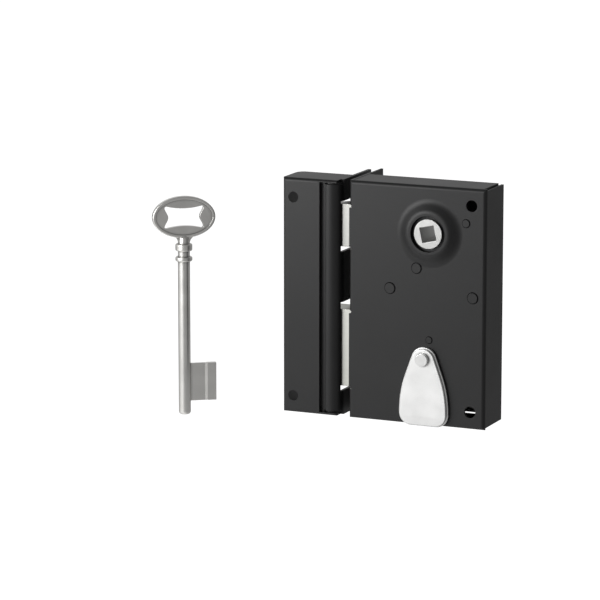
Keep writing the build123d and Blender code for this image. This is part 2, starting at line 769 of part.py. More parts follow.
def keeper_strike():
    """A lip behind the box's face, the rounded ramp, and the long wall with the bolts' openings."""
    inner_round = ridge_round - strike_sheet
    lip_front = front + groove_floor_depth
    lip_back = lip_front + strike_sheet
    arc_x = keeper_right - ridge_round
    lip_end = face_end - strike_lip
    outer = Polyline((lip_end, lip_back), (lip_end, lip_front), (ridge_left, lip_front), (ridge_left, front),
                     (arc_x, front))
    ramp = ThreePointArc((arc_x, front), ramp_middle(arc_x, ridge_round),
                         (keeper_right, front + ridge_round))
    wall = Polyline((keeper_right, front + ridge_round), (keeper_right, strike_back),
                    (strike_inside, strike_back), (strike_inside, front + ridge_round))
    inside = ThreePointArc((strike_inside, front + ridge_round), ramp_middle(arc_x, inner_round),
                           (arc_x, front + strike_sheet))
    close = Polyline((arc_x, front + strike_sheet), (ridge_left + strike_sheet, front + strike_sheet),
                     (ridge_left + strike_sheet, lip_back), (lip_end, lip_back))
    section = make_face([outer, ramp, wall, inside, close])
    section = fillet(section.vertices().sort_by(Axis.Y)[0:2].sort_by(Axis.X)[0], ridge_inner_round)
    low, high = keeper_bottom + sheet, keeper_top - sheet
    body = Pos(0, 0, low) * extrude(section, high - low)
    for z0, z1 in ((low, low + ridge_end_gap - sheet), (high - ridge_end_gap + sheet, high)):
        body -= block(ridge_left - overrun, keeper_right + overrun, front - overrun, front + ridge_round,
                      z0, z1)
        step = Pos(0, strike_sheet - bore_clearance, z0) * extrude(section, z1 - z0)
        body += step & block(ridge_left - overrun, keeper_right, front, front + ridge_round + overrun,
                             z0, z1)
    body += block(strike_inside, keeper_right, front + ridge_round, strike_back, keeper_bottom, keeper_top)
    latch_half = latch_height / 2
    openings = ((-latch_half - latch_opening_below, latch_half + latch_opening_above),
                (dead_bottom - dead_opening_below, dead_top + dead_opening_above))
    for z0, z1 in openings:
        body -= block(arc_x, keeper_right + overrun, front + strike_opening_inset, -strike_opening_back,
                      z0, z1)
    return body


def key_bow():
    """The bow: a flat oval with a raised rim and a hole drawn in on all four sides."""
    centre = key_length - bow_height / 2
    oval = Ellipse(bow_width / 2, bow_height / 2)
    web_oval = Ellipse(bow_width / 2 - bow_rim_width, bow_height / 2 - bow_rim_width)
    half_w, half_h = bow_hole_width / 2, bow_hole_height / 2
    waist_w, waist_h = bow_hole_waist_width / 2, bow_hole_waist_height / 2
    ear_w, ear_h = bow_hole_ear_width / 2, bow_hole_ear_height / 2
    shoulder_w, shoulder_h = bow_hole_shoulder_width / 2, bow_hole_shoulder_height / 2
    sides = []
    for way in (1, -1):
        sides.append(ThreePointArc((-way * half_w, way * half_h), (0, way * waist_h),
                                   (way * half_w, way * half_h)))
        sides.append(Spline((way * half_w, way * half_h), (way * ear_w, way * ear_h),
                            (way * shoulder_w, way * shoulder_h), (way * waist_w, 0),
                            (way * shoulder_w, -way * shoulder_h), (way * ear_w, -way * ear_h),
                            (way * half_w, -way * half_h)))
    hole = make_face(sides)
    hole = fillet(hole.vertices(), bow_hole_round)
    half = bow_thickness / 2
    rim = slab(Pos(0, centre) * oval, -half, half)
    rim = fillet(rim.edges(), bow_rim_rise)
    rim += slab(bow_flare(), bow_rim_rise / 2 - half, half - bow_rim_rise / 2)
    sunk = slab(Pos(0, centre) * web_oval, half - bow_rim_rise, half + overrun)
    sunk += slab(Pos(0, centre) * web_oval, -half - overrun, bow_rim_rise - half)
    return rim - sunk - slab(Pos(0, centre) * hole, -half - overrun, half + overrun)


def bow_flare():
    """The hollow-sided foot in which the bow runs down into the neck."""
    foot = key_length - bow_height - flare_drop
    head = key_length - bow_height + flare_lap
    half = flare_width / 2
    side = (half + key_neck_radius) / 2 - flare_hollow
    middle = (foot + head) / 2
    left_side = ThreePointArc((-key_neck_radius, foot), (-side, middle), (-half, head))
    right_side = ThreePointArc((half, head), (side, middle), (key_neck_radius, foot))
    return make_face([left_side, Line((-half, head), (half, head)), right_side,
                      Line((key_neck_radius, foot), (-key_neck_radius, foot))])


def key_stem():
    """The round shank with its tip, collars and neck, turned about Z."""
    neck_top = key_length - bow_height
    lower_top = key_lower_collar + key_lower_collar_height
    upper_top = key_upper_collar + key_upper_collar_height
    shank = Cylinder(key_shank_radius, key_lower_collar + overrun, align=base)
    shank = fillet(shank.edges().sort_by(Axis.Z)[0], key_tip_round)
    waist = Cylinder(key_waist_radius, upper_top - key_lower_collar, align=base)
    stem = shank + Pos(0, 0, key_lower_collar) * waist
    for z0, z1 in ((key_lower_collar, lower_top), (key_upper_collar, upper_top)):
        collar = Pos(0, 0, z0) * Cylinder(key_collar_radius, z1 - z0, align=base)
        stem += fillet(collar.edges(), key_collar_round)
    neck = Cone(key_waist_radius, key_neck_radius, neck_top - upper_top + overrun, align=base)
    point = Cone(key_neck_radius, key_neck_radius / 2, key_neck_point, align=base)
    return stem + Pos(0, 0, upper_top - overrun) * neck + Pos(0, 0, neck_top) * point


def key_bit():
    """The bit: a web next to the shank that thickens, over a slope, to a heavier end."""
    half = key_bit_thickness / 2
    web = half - bit_web_drop
    heavy = bit_web_reach + bit_web_slope
    outline = Polyline((0, -web), (bit_web_reach, -web), (heavy, -half), (key_bit_reach, -half),
                       (key_bit_reach, half), (heavy, half), (bit_web_reach, web), (0, web), close=True)
    return Pos(0, 0, key_bit_rise) * extrude(make_face(outline), key_bit_length)


def key():
    whole = key_stem() + key_bit() + key_bow()
    return Pos(*key_place) * Rotation(0, 0, key_turn) * whole


def main():
    pieces = {
        "case_shell": case_shell(),
        "back_plate": back_plate(),
        "back_plate_screws": Compound([back_plate_screw(pillar_left), back_plate_screw(pillar_right)]),
        "pillar_posts": Compound([pillar(pillar_left), pillar(pillar_right)]),
        "latch_post": staked_post(latch_post, latch_post_stake_radius, latch_post_radius),
        "follower_spring_post": staked_post(spring_post, spring_post_stake_radius, spring_post_radius),
        "dead_bolt_post": dead_bolt_post(),
        "follower_bush": follower_bush(),
        "follower": follower(),
        "follower_spring": follower_spring(),
        "latch_bolt": latch_bolt(),
        "latch_spring": latch_spring(),
        "dead_bolt": dead_bolt(),
        "tumbler": tumbler(),
        "tumbler_spring": tumbler_spring(),
        "key_cover": key_cover(),
        "key_cover_rivet": key_cover_rivet(),
        "key_cover_washer": key_cover_washer(),
        "keeper_box": keeper_box(),
        "keeper_strike": keeper_strike(),
        "key": key(),
    }
    os.makedirs("parts", exist_ok=True)
    for name, piece in pieces.items():
        export_step(piece, os.path.join("parts", name + ".step"))
        print(f"{name}: {len(piece.solids())} solid(s), {piece.volume:.0f} mm3")


main()
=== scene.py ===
"""Finishes a rim box lock, its keeper and its key: paint, plating, small pieces and a plain studio."""

import json
import math

import bpy
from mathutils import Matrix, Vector

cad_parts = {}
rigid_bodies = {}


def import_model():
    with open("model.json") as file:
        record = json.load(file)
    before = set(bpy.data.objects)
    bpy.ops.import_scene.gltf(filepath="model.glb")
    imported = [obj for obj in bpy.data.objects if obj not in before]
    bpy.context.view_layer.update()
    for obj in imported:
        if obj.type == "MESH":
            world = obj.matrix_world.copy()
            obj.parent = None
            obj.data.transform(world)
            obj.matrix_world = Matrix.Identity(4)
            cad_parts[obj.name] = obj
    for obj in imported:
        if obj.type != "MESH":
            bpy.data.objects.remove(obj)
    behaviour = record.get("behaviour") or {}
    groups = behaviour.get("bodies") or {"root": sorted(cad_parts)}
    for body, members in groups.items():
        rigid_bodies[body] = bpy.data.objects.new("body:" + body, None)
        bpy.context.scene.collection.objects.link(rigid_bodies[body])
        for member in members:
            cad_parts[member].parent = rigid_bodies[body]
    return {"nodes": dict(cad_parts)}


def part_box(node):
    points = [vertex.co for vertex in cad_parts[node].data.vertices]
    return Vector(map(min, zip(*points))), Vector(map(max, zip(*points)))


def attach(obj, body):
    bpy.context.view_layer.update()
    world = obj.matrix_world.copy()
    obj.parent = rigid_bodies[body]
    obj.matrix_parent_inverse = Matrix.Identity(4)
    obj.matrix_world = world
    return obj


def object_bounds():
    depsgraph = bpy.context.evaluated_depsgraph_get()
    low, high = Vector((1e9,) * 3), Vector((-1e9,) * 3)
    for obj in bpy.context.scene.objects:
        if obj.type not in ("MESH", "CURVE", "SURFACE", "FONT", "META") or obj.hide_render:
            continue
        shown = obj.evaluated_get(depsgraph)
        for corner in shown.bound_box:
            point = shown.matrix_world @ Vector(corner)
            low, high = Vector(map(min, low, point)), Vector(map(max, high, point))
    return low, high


bl_info = {
    "name": "Rim box lock",
    "version": (1, 0, 0),
    "blender": (4, 5, 0),
    "location": "3D View > Sidebar > Lock",
    "description": "Paint, plating and small pieces of a rim box lock with its keeper and key",
    "category": "Object",
}

for left_over in list(bpy.data.objects):
    bpy.data.objects.remove(left_over)

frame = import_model()
nodes = frame["nodes"]
cad_low, cad_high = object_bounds()
strike_low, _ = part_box("keeper_strike")
keeper_low, keeper_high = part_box("keeper_box")
MM = 0.001
front_plane = keeper_low.y

staked_pieces = ("pillar_posts", "latch_post", "follower_spring_post", "dead_bolt_post")
staked_end_count = 5


# Nodes

def add(tree, kind, inputs=None, **settings):
    """A new node with its settings, its plain values and its links."""
    node = tree.nodes.new(kind)
    for name, value in settings.items():
        setattr(node, name, value)
    for name, value in (inputs or {}).items():
        if isinstance(value, bpy.types.NodeSocket):
            tree.links.new(value, node.inputs[name])
        else:
            node.inputs[name].default_value = value
    return node


def reckon(tree, operation, a, b, **settings):
    """The result of a sum on two numbers."""
    return add(tree, "ShaderNodeMath", {0: a, 1: b}, operation=operation, **settings).outputs[0]


def times(tree, a, b):
    return reckon(tree, "MULTIPLY", a, b)


def plus(tree, a, b):
    return reckon(tree, "ADD", a, b)


def one_over(tree, size):
    """The scale of a texture whose features have the given size."""
    return reckon(tree, "DIVIDE", 1.0, size)


def vectors(tree, operation, a, b):
    """The vector that a sum on two vectors gives."""
    return add(tree, "ShaderNodeVectorMath", {0: a, 1: b}, operation=operation).outputs[0]


def along(tree, a, b):
    """How far one vector runs along another."""
    return add(tree, "ShaderNodeVectorMath", {0: a, 1: b}, operation="DOT_PRODUCT").outputs["Value"]


def remap(tree, value, low, high, new_low=0.0, new_high=1.0, **settings):
    """A value carried over from one range to another, and held at its ends."""
    ends = {"From Min": low, "From Max": high, "To Min": new_low, "To Max": new_high}
    return add(tree, "ShaderNodeMapRange", {"Value": value, **ends}, **settings).outputs["Result"]


def noise(tree, place, scale, detail, roughness=0.5):
    """Soft noise from 0 to 1."""
    return add(tree, "ShaderNodeTexNoise", {"Vector": place, "Scale": scale, "Detail": detail,
                                            "Roughness": roughness}).outputs[0]


def object_place(tree):
    return add(tree, "ShaderNodeTexCoord").outputs["Object"]


def bump(tree, height, depth, normal):
    """A relief of the given depth, in metres, over an already rounded normal."""
    return add(tree, "ShaderNodeBump", {"Height": height, "Distance": depth, "Normal": normal}).outputs[0]


# Shader groups

def new_group(name, inputs, outputs):
    """An empty shader group with named sockets; gives the tree, its inputs and its output node."""
    tree = bpy.data.node_groups.new(name, "ShaderNodeTree")
    for label, kind, value in inputs:
        socket = tree.interface.new_socket(label, in_out="INPUT", socket_type=kind)
        socket.default_value = value
    for label, kind in outputs:
        tree.interface.new_socket(label, in_out="OUTPUT", socket_type=kind)
    return tree, tree.nodes.new("NodeGroupInput").outputs, tree.nodes.new("NodeGroupOutput")


def give(tree, out, **values):
    """Links values to the outputs of a group."""
    for label, value in values.items():
        tree.links.new(value, out.inputs[label])
    return tree


def soft_edge_group():
    """Rounds the light on every sharp edge, and says where the edges are."""
    tree, given, out = new_group("soft_edge", [("Radius", "NodeSocketFloat", 0.2 * MM),
                                               ("Gain", "NodeSocketFloat", 2.5)],
                                 [("Normal", "NodeSocketVector"), ("Edge", "NodeSocketFloat")])
    rounded = add(tree, "ShaderNodeBevel", {"Radius": given["Radius"]}, samples=6).outputs[0]
    flat = add(tree, "ShaderNodeNewGeometry").outputs["Normal"]
    turned = reckon(tree, "SUBTRACT", 1.0, along(tree, rounded, flat))
    edge = reckon(tree, "MULTIPLY", turned, given["Gain"], use_clamp=True)
    return give(tree, out, Normal=rounded, Edge=edge)


def paint_peel_group():
    """The fine orange peel of sprayed powder, and slow patches in its tone."""
    fine_scale, speck_scale, fine_share = 3.7, 2.1, 0.35
    tree, given, out = new_group("paint_peel", [("Peel Size", "NodeSocketFloat", 0.6 * MM),
                                                ("Patch Size", "NodeSocketFloat", 18 * MM)],
                                 [("Height", "NodeSocketFloat"), ("Patch", "NodeSocketFloat"),
                                  ("Speck", "NodeSocketFloat")])
    place = object_place(tree)
    peel_scale = one_over(tree, given["Peel Size"])
    peel = noise(tree, place, peel_scale, detail=1.5, roughness=0.45)
    fine = noise(tree, place, times(tree, peel_scale, fine_scale), detail=1.0)
    patch = noise(tree, place, one_over(tree, given["Patch Size"]), detail=2.0)
    speck = noise(tree, place, times(tree, peel_scale, speck_scale), detail=0.0)
    height = plus(tree, peel, times(tree, fine, fine_share))
    return give(tree, out, Height=height, Patch=patch, Speck=speck)


def metal_grain_group():
    """Fine lines drawn along one way, as a brush or a belt leaves them, with slow patches of tone."""
    broad_scale = 0.23
    tree, given, out = new_group("metal_grain", [("Fineness", "NodeSocketVector", (3000.0, 3000.0, 120.0)),
                                                 ("Patch Size", "NodeSocketFloat", 9 * MM)],
                                 [("Height", "NodeSocketFloat"), ("Tone", "NodeSocketFloat"),
                                  ("Patch", "NodeSocketFloat")])
    place = object_place(tree)
    drawn = vectors(tree, "MULTIPLY", place, given["Fineness"])
    lines = noise(tree, drawn, 1.0, detail=3.0, roughness=0.55)
    broad = noise(tree, drawn, broad_scale, detail=2.0)
    patch = noise(tree, place, one_over(tree, given["Patch Size"]), detail=2.0)
    return give(tree, out, Height=lines, Tone=broad, Patch=patch)


def cast_skin_group():
    """The faint ripple and pin holes of a cast and plated surface."""
    pin_starts, pin_ends = 0.68, 0.78
    patch_scale, pin_share, grain_share = 0.16, -0.5, 0.12
    tree, given, out = new_group("cast_skin", [("Ripple Size", "NodeSocketFloat", 1.6 * MM),
                                               ("Pin Size", "NodeSocketFloat", 0.35 * MM)],
                                 [("Height", "NodeSocketFloat"), ("Pins", "NodeSocketFloat"),
                                  ("Patch", "NodeSocketFloat")])
    place = object_place(tree)
    ripple_scale = one_over(tree, given["Ripple Size"])
    ripple = noise(tree, place, ripple_scale, detail=2.0)
    grain = noise(tree, place, one_over(tree, given["Pin Size"]), detail=2.0)
    patch = noise(tree, place, times(tree, ripple_scale, patch_scale), detail=2.0)
    pins = remap(tree, grain, pin_starts, pin_ends)
    pitted = plus(tree, ripple, times(tree, pins, pin_share))
    height = plus(tree, pitted, times(tree, grain, grain_share))
    return give(tree, out, Height=height, Pins=pins, Patch=patch)


def turned_rings_group():
    """Rings about a shaft along Y, as a lathe leaves them."""
    across_shaft, patch_scale = (1.0, 0.0, 1.0), 260.0
    tree, given, out = new_group("turned_rings", [("Centre", "NodeSocketVector", (0.0, 0.0, 0.0)),
                                                  ("Pitch", "NodeSocketFloat", 0.25 * MM)],
                                 [("Height", "NodeSocketFloat"), ("Patch", "NodeSocketFloat")])
    place = object_place(tree)
    away = vectors(tree, "SUBTRACT", place, given["Centre"])
    flat = vectors(tree, "MULTIPLY", away, across_shaft)
    reach = add(tree, "ShaderNodeVectorMath", {0: flat}, operation="LENGTH").outputs["Value"]
    rings = reckon(tree, "DIVIDE", reach, given["Pitch"])
    wander = add(tree, "ShaderNodeTexNoise", {"W": rings, "Scale": 1.0, "Detail": 2.0}, noise_dimensions="1D")
    patch = noise(tree, place, patch_scale, detail=2.0)
    return give(tree, out, Height=wander.outputs[0], Patch=patch)


def soft_box_group():
    """How much of a broad soft light, at the left of the front, lies in a direction."""
    tree, given, out = new_group("soft_box", [("Direction", "NodeSocketVector", (0.0, -1.0, 0.0)),
                                              ("Side", "NodeSocketVector", (-0.707, -0.707, 0.0)),
                                              ("Edge", "NodeSocketFloat", 0.55),
                                              ("Core", "NodeSocketFloat", 0.92)],
                                 [("Share", "NodeSocketFloat")])
    way = add(tree, "ShaderNodeVectorMath", {0: given["Direction"]}, operation="NORMALIZE").outputs[0]
    share = remap(tree, along(tree, way, given["Side"]), given["Edge"], given["Core"],
                  interpolation_type="SMOOTHSTEP")
    return give(tree, out, Share=share)


def corner_shade_group():
    """How deep a point lies in a corner or beside another piece, 0 in the open."""
    in_the_open, deep_in = 0.95, 0.58
    tree, given, out = new_group("corner_shade", [("Reach", "NodeSocketFloat", 1 * MM)],
                                 [("Shade", "NodeSocketFloat")])
    free = add(tree, "ShaderNodeAmbientOcclusion", {"Distance": given["Reach"]}, samples=8).outputs["AO"]
    return give(tree, out, Shade=remap(tree, free, in_the_open, deep_in))


group_makers = {"soft_edge": soft_edge_group, "paint_peel": paint_peel_group,
                "metal_grain": metal_grain_group, "cast_skin": cast_skin_group,
                "turned_rings": turned_rings_group, "soft_box": soft_box_group,
                "corner_shade": corner_shade_group}
groups = {}


def group(tree, name, inputs):
    """Places one of the shared groups in a tree, with that tree's own values."""
    if name not in groups:
        groups[name] = group_makers[name]()
    node = tree.nodes.new("ShaderNodeGroup")
    node.node_tree = groups[name]
    for label, value in inputs.items():
        if isinstance(value, bpy.types.NodeSocket):
            tree.links.new(value, node.inputs[label])
        else:
            node.inputs[label].default_value = value
    return node.outputs


# Colours

def rgba(colour, share=1.0):
    return tuple(min(1.0, c * share) for c in colour) + (1.0,)


def blend(tree, factor, first, second):
    """A colour between two; a Mix node's colours go in at sockets 6 and 7, and come out at 2."""
    mix = tree.nodes.new("ShaderNodeMix")
    mix.data_type = "RGBA"
    tree.links.new(factor, mix.inputs[0])
    for socket, value in ((mix.inputs[6], first), (mix.inputs[7], second)):
        if isinstance(value, bpy.types.NodeSocket):
            tree.links.new(value, socket)
        else:
            socket.default_value = value
    return mix.outputs[2]


def patches(tree, mask, colour, darkest, palest):
    """A colour that wanders between two shares of itself."""
    return blend(tree, mask, rgba(colour, darkest), rgba(colour, palest))


def mark(tree, tone, mask, colour, strength, share):
    """Lays a share of the finish's own colour over its tone where the mask says."""
    return blend(tree, times(tree, mask, strength), tone, rgba(colour, share))


def uneven(tree, mask, roughness, glossier=0.05, duller=0.08):
    """A roughness that wanders about its value."""
    return remap(tree, mask, 0.0, 1.0, roughness - glossier, roughness + duller)


def paint_corner_shade(tree, tone, colour, reach):
    """Paints shade into a metal's colour: darker in corners and steps and beside other pieces, where ambient
    occlusion finds them hemmed in.
    """
    corner = group(tree, "corner_shade", {"Reach": reach})
    return mark(tree, tone, corner["Shade"], colour, strength=0.8, share=0.2)


# Finishes

def blank(name):
    """A new material; gives it, its tree and its shader."""
    material = bpy.data.materials.new(name)
    material.use_nodes = True
    tree = material.node_tree
    tree.nodes.clear()
    shader = tree.nodes.new("ShaderNodeBsdfPrincipled")
    output = tree.nodes.new("ShaderNodeOutputMaterial")
    tree.links.new(shader.outputs[0], output.inputs["Surface"])
    return material, tree, shader


def set_finish(tree, shader, tone, roughness, normal):
    """Links a finish's colour, roughness and normal to its shader."""
    tree.links.new(tone, shader.inputs["Base Color"])
    tree.links.new(roughness, shader.inputs["Roughness"])
    tree.links.new(normal, shader.inputs["Normal"])


def powder_paint(name, paint):
    """Satin powder coat: orange peel, a slightly glossier and paler edge, and slow patches."""
    edge_gloss = -0.06
    colour = tuple(paint.colour)
    material, tree, shader = blank(name)
    edge = group(tree, "soft_edge", {"Radius": paint.edge_radius, "Gain": 2.0})
    peel = group(tree, "paint_peel", {"Peel Size": paint.peel_size, "Patch Size": 20 * MM})
    tone = patches(tree, peel["Patch"], colour, darkest=0.86, palest=1.14)
    tone = mark(tree, tone, peel["Speck"], colour, strength=0.22, share=1.7)
    tone = mark(tree, tone, edge["Edge"], colour, strength=0.25, share=1.9)
    roughness = plus(tree, uneven(tree, peel["Patch"], paint.roughness, glossier=0.04, duller=0.05),
                     times(tree, edge["Edge"], edge_gloss))
    set_finish(tree, shader, tone, roughness, bump(tree, peel["Height"], paint.peel_depth, edge["Normal"]))
    shader.inputs["Specular IOR Level"].default_value = paint.gloss
    return material


def brushed_metal(name, colour, roughness, fineness, depth, edge_radius, patch_size=9 * MM,
                  shade_reach=0.5 * MM):
    """Plated or bare metal with drawn lines, paler on its edges, with painted shade in its corners and beside
    other pieces, and uneven in gloss.
    """
    grain_dullness = 0.05
    material, tree, shader = blank(name)
    edge = group(tree, "soft_edge", {"Radius": edge_radius, "Gain": 2.2})
    grain = group(tree, "metal_grain", {"Fineness": fineness, "Patch Size": patch_size})
    tone = patches(tree, grain["Tone"], colour, darkest=0.93, palest=1.06)
    tone = mark(tree, tone, grain["Patch"], colour, strength=0.3, share=0.82)
    tone = mark(tree, tone, edge["Edge"], colour, strength=0.4, share=1.12)
    # painted shade: darker colour within shade_reach of corners and of other pieces
    tone = paint_corner_shade(tree, tone, colour, shade_reach)
    dullness = plus(tree, uneven(tree, grain["Patch"], roughness, duller=0.07),
                    times(tree, grain["Tone"], grain_dullness))
    set_finish(tree, shader, tone, dullness, bump(tree, grain["Height"], depth, edge["Normal"]))
    shader.inputs["Metallic"].default_value = 1.0
    return material


def cast_nickel(name, colour, roughness, depth, edge_radius, shade_reach):
    """Cast zinc alloy under satin nickel: faint ripple, a few pin holes, bright edges, and painted shade in
    its corners and steps.
    """
    pin_dullness = 0.15
    material, tree, shader = blank(name)
    edge = group(tree, "soft_edge", {"Radius": edge_radius, "Gain": 2.0})
    skin = group(tree, "cast_skin", {"Ripple Size": 1.4 * MM, "Pin Size": 0.3 * MM})
    tone = patches(tree, skin["Patch"], colour, darkest=0.9, palest=1.08)
    tone = mark(tree, tone, skin["Pins"], colour, strength=0.35, share=0.45)
    tone = mark(tree, tone, edge["Edge"], colour, strength=0.35, share=1.15)
    # painted shade: darker colour within shade_reach of corners, steps and other pieces
    tone = paint_corner_shade(tree, tone, colour, shade_reach)
    dullness = plus(tree, uneven(tree, skin["Patch"], roughness, duller=0.06),
                    times(tree, skin["Pins"], pin_dullness))
    set_finish(tree, shader, tone, dullness, bump(tree, skin["Height"], depth, edge["Normal"]))
    shader.inputs["Metallic"].default_value = 1.0
    return material


def turned_zinc(name, colour, roughness, centre, pitch, depth):
    """Bright zinc faced on a lathe, with rings about its shaft."""
    material, tree, shader = blank(name)
    edge = group(tree, "soft_edge", {"Radius": 0.25 * MM, "Gain": 2.2})
    rings = group(tree, "turned_rings", {"Centre": centre, "Pitch": pitch})
    tone = patches(tree, rings["Patch"], colour, darkest=0.9, palest=1.06)
    tone = mark(tree, tone, edge["Edge"], colour, strength=0.5, share=1.15)
    set_finish(tree, shader, tone, uneven(tree, rings["Patch"], roughness),
               bump(tree, rings["Height"], depth, edge["Normal"]))
    shader.inputs["Metallic"].default_value = 1.0
    return material


def staked_post(name, paint, steel):
    """A steel post whose staked end, in front of the case's inner face, is painted with the case."""
    painted_depth, peel_depth = 1.1 * MM, 0.006 * MM
    material, tree, shader = blank(name)
    edge = group(tree, "soft_edge", {"Radius": 0.12 * MM, "Gain": 2.0})
    peel = group(tree, "paint_peel", {"Peel Size": 0.6 * MM, "Patch Size": 6 * MM})
    depth = add(tree, "ShaderNodeSeparateXYZ", {0: object_place(tree)}).outputs["Y"]
    inside = reckon(tree, "GREATER_THAN", depth, front_plane + painted_depth)
    coat = patches(tree, peel["Patch"], tuple(paint.colour), darkest=0.8, palest=1.2)
    bare = patches(tree, peel["Patch"], steel, darkest=0.85, palest=1.05)
    set_finish(tree, shader, blend(tree, inside, coat, bare), uneven(tree, peel["Patch"], paint.roughness),
               bump(tree, peel["Height"], peel_depth, edge["Normal"]))
    tree.links.new(inside, shader.inputs["Metallic"])
    shader.inputs["Specular IOR Level"].default_value = paint.gloss
    return material


def black_shadow_finish(name):
    """Painted shadow: a near-black finish for the ring round a staked end, standing in for the shade at the
    end's rim.
    """
    darkest, palest = (0.001, 0.001, 0.001), (0.005, 0.005, 0.005)
    glossiest, dullest = 0.75, 0.9
    material, tree, shader = blank(name)
    peel = group(tree, "paint_peel", {"Peel Size": 0.3 * MM, "Patch Size": 2 * MM})
    tree.links.new(blend(tree, peel["Patch"], rgba(darkest), rgba(palest)), shader.inputs["Base Color"])
    tree.links.new(remap(tree, peel["Patch"], 0.0, 1.0, glossiest, dullest), shader.inputs["Roughness"])
    shader.inputs["Specular IOR Level"].default_value = 0.1
    return material


def moulded_nylon(name, colour, roughness):
    """Black moulded nylon with a fine spark-eroded skin."""
    skin_depth = 0.01 * MM
    material, tree, shader = blank(name)
    edge = group(tree, "soft_edge", {"Radius": 0.15 * MM, "Gain": 2.0})
    peel = group(tree, "paint_peel", {"Peel Size": 0.2 * MM, "Patch Size": 5 * MM})
    tone = patches(tree, peel["Patch"], colour, darkest=0.7, palest=1.5)
    set_finish(tree, shader, tone, uneven(tree, peel["Patch"], roughness),
               bump(tree, peel["Height"], skin_depth, edge["Normal"]))
    return material


def dress(material, *names):
    """Gives a finish to pieces of the lock."""
    for name in names:
        mesh = nodes[name].data
        mesh.materials.clear()
        mesh.materials.append(material)


# Small pieces

def front_ends(name):
    """Centre and radius of each round end that a piece shows in the case's front."""
    tolerance, apart = 0.01 * MM, 8 * MM
    corners = [v.co for v in nodes[name].data.vertices]
    front = min(c.y for c in corners)
    rims = []
    for corner in corners:
        if corner.y > front + tolerance:
            continue
        near = [r for r in rims if (r[0] - corner).length < apart]
        if near:
            near[0].append(corner)
        else:
            rims.append([corner])
    ends = []
    for rim in rims:
        middle = Vector([(min(c[i] for c in rim) + max(c[i] for c in rim)) / 2 for i in range(3)])
        ends.append((middle, max((c - middle).length for c in rim)))
    return ends


def tree_with_inputs(name, inputs):
    """An empty geometry tree that takes a mesh and named sizes."""
    tree = bpy.data.node_groups.new(name, "GeometryNodeTree")
    tree.interface.new_socket("Geometry", in_out="INPUT", socket_type="NodeSocketGeometry")
    sockets = {}
    for label, kind, value in inputs:
        socket = tree.interface.new_socket(label, in_out="INPUT", socket_type=kind)
        socket.default_value = value
        sockets[label] = socket.identifier
    tree.interface.new_socket("Geometry", in_out="OUTPUT", socket_type="NodeSocketGeometry")
    return tree, tree.nodes.new("NodeGroupInput").outputs, tree.nodes.new("NodeGroupOutput"), sockets


def repeat_on(tree, out, points, shape, size, finish):
    """Ends a geometry tree: a shape on every point, made real and given its finish."""
    copies = add(tree, "GeometryNodeInstanceOnPoints", {"Points": points, "Instance": shape, "Scale": size})
    real = add(tree, "GeometryNodeRealizeInstances", {"Geometry": copies.outputs[0]})
    finished = add(tree, "GeometryNodeSetMaterial", {"Geometry": real.outputs[0], "Material": finish})
    tree.links.new(finished.outputs[0], out.inputs[0])


def staking_tree():
    """A ring of painted shadow round each staked end; every point of the mesh holds its ring's radius."""
    ring_sides, profile_sides = 48, 8
    tree, given, out, sockets = tree_with_inputs("staking", [("Seam", "NodeSocketFloat", 0.09),
                                                             ("Flatness", "NodeSocketFloat", 0.15),
                                                             ("Finish", "NodeSocketMaterial", None)])
    circle = add(tree, "GeometryNodeCurvePrimitiveCircle", {"Resolution": ring_sides, "Radius": 1.0})
    profile = add(tree, "GeometryNodeCurvePrimitiveCircle", {"Resolution": profile_sides,
                                                             "Radius": given["Seam"]})
    ring = add(tree, "GeometryNodeCurveToMesh", {"Curve": circle.outputs["Curve"],
                                                 "Profile Curve": profile.outputs["Curve"]})
    thin = add(tree, "ShaderNodeCombineXYZ", {"X": 1.0, "Y": 1.0, "Z": given["Flatness"]})
    flat = add(tree, "GeometryNodeTransform", {"Geometry": ring.outputs[0], "Scale": thin.outputs[0]})
    upright = add(tree, "GeometryNodeTransform", {"Geometry": flat.outputs[0],
                                                  "Rotation": (math.radians(90), 0.0, 0.0)})
    points = add(tree, "GeometryNodeMeshToPoints", {"Mesh": given["Geometry"]})
    reach = add(tree, "GeometryNodeInputNamedAttribute", {"Name": "reach"}, data_type="FLOAT")
    repeat_on(tree, out, points.outputs[0], upright.outputs[0], reach.outputs[0], given["Finish"])
    return tree, sockets


def weld_tree():
    """Flat round spot welds in a row along Z, facing along Y."""
    weld_segments, weld_rings = 24, 10
    tree, given, out, sockets = tree_with_inputs("spot_welds", [
        ("Count", "NodeSocketInt", 7), ("Pitch", "NodeSocketFloat", 12 * MM),
        ("Radius", "NodeSocketFloat", 1.3 * MM), ("Rise", "NodeSocketFloat", 0.12 * MM),
        ("Finish", "NodeSocketMaterial", None)])
    step = add(tree, "ShaderNodeCombineXYZ", {"Z": given["Pitch"]})
    line = add(tree, "GeometryNodeMeshLine", {"Count": given["Count"], "Offset": step.outputs[0]})
    button = add(tree, "GeometryNodeMeshUVSphere", {"Segments": weld_segments, "Rings": weld_rings,
                                                    "Radius": 1.0})
    size = add(tree, "ShaderNodeCombineXYZ", {"X": given["Radius"], "Y": given["Rise"], "Z": given["Radius"]})
    repeat_on(tree, out, line.outputs[0], button.outputs[0], size.outputs[0], given["Finish"])
    return tree, sockets


def grow(name, mesh, tree, values, sockets):
    """Runs a geometry tree on a mesh and gives the result as a plain object."""
    seed = bpy.data.objects.new(name + "_seed", mesh)
    bpy.context.scene.collection.objects.link(seed)
    modifier = seed.modifiers.new("make", "NODES")
    modifier.node_group = tree
    for label, value in values.items():
        modifier[sockets[label]] = value
    bpy.context.view_layer.update()
    made = bpy.data.meshes.new_from_object(seed.evaluated_get(bpy.context.evaluated_depsgraph_get()))
    bpy.data.objects.remove(seed)
    made.name = name
    for face in made.polygons:
        face.use_smooth = True
    piece = bpy.data.objects.new(name, made)
    bpy.context.scene.collection.objects.link(piece)
    return piece


# Sizes and colours a user would change

